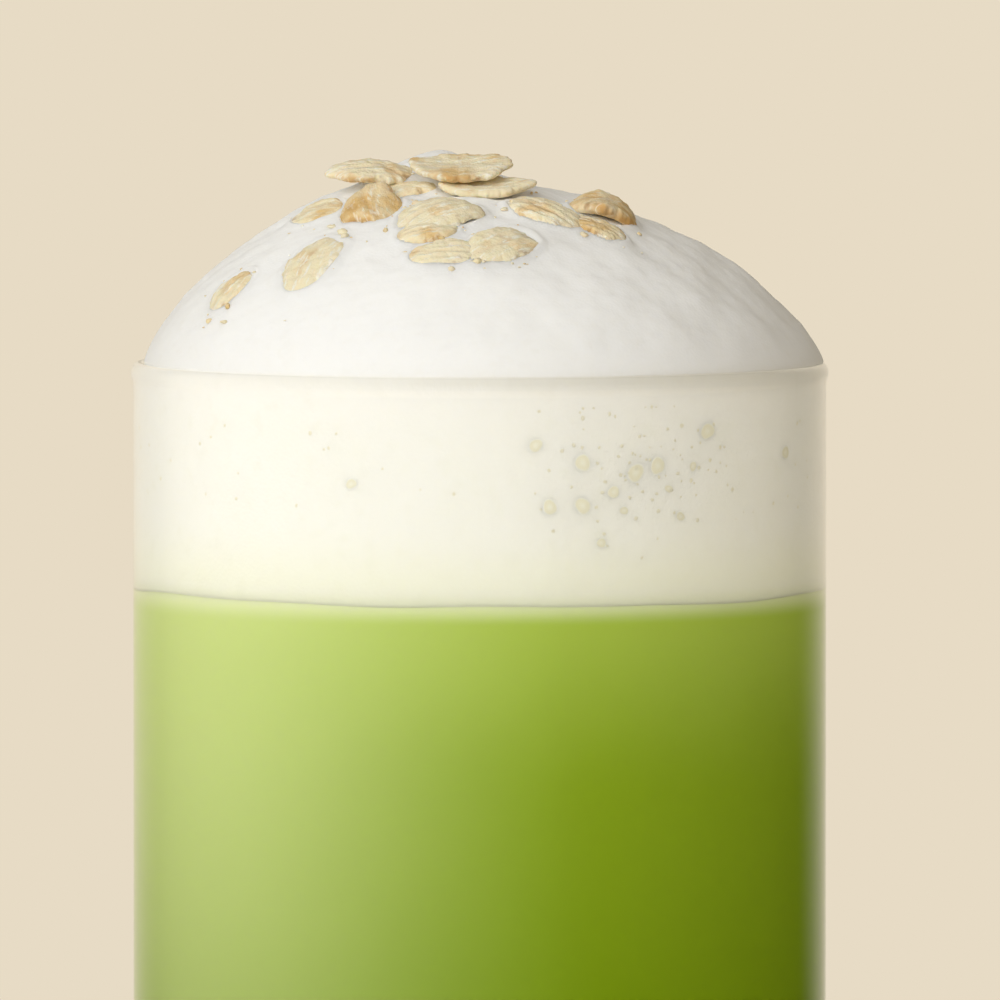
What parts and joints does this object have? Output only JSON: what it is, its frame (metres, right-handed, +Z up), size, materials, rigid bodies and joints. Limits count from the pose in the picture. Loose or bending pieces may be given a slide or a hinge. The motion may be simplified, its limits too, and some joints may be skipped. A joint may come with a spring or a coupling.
{
  "type": "matcha latte in a glass",
  "caption": "Straight clear tumbler of green matcha latte under a deep layer of white milk foam that domes over the rim, scattered with rolled oats.",
  "frame": {"origin": "centre of the glass's flat underside, which is the bottom centre of the bounding box", "axes": "+Z up along the glass's axis; -Y is the front, the side on which most of the oats lie; +X is the viewer's right"},
  "size_m": [0.0754, 0.0754, 0.1309],
  "materials": {
    "clear_glass": "polished",
    "matcha": "gloss",
    "foam": "matte",
    "oats": "matte"
  },
  "bodies": {
    "root": {"glass": "clear_glass", "matcha_milk": "matcha", "milk_foam": "foam", "oat_01": "oats", "oat_02": "oats", "oat_03": "oats", "oat_04": "oats", "oat_05": "oats", "oat_06": "oats", "oat_07": "oats", "oat_08": "oats", "oat_09": "oats", "oat_10": "oats", "oat_11": "oats", "oat_12": "oats", "oat_13": "oats", "oat_14": "oats", "oat_15": "oats", "oat_16": "oats", "oat_17": "oats", "oat_18": "oats", "oat_19": "oats", "oat_20": "oats", "oat_21": "oats", "oat_22": "oats", "oat_23": "oats"}
  },
  "joints": []
}
